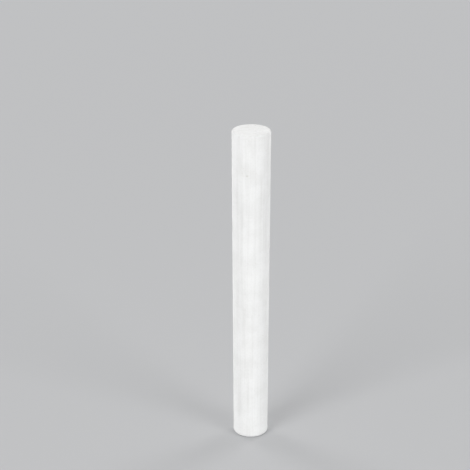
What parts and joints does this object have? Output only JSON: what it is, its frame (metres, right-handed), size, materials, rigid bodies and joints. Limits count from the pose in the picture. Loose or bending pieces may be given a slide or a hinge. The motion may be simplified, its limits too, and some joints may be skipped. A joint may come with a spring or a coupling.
{
  "type": "chalk stick",
  "caption": "Round tapered stick of white moulded writing chalk, with flat ends and softly rounded rims, standing on its thin end.",
  "frame": {"origin": "middle of the flat thin end, which the stick stands on", "axes": "+Z along the stick's axis, from the thin end up to the thick end"},
  "size_m": [0.0094, 0.0094, 0.08],
  "materials": {
    "chalk": "matte, dry and slightly dusty moulded chalk"
  },
  "bodies": {
    "root": {"chalk_stick": "chalk"}
  },
  "joints": []
}
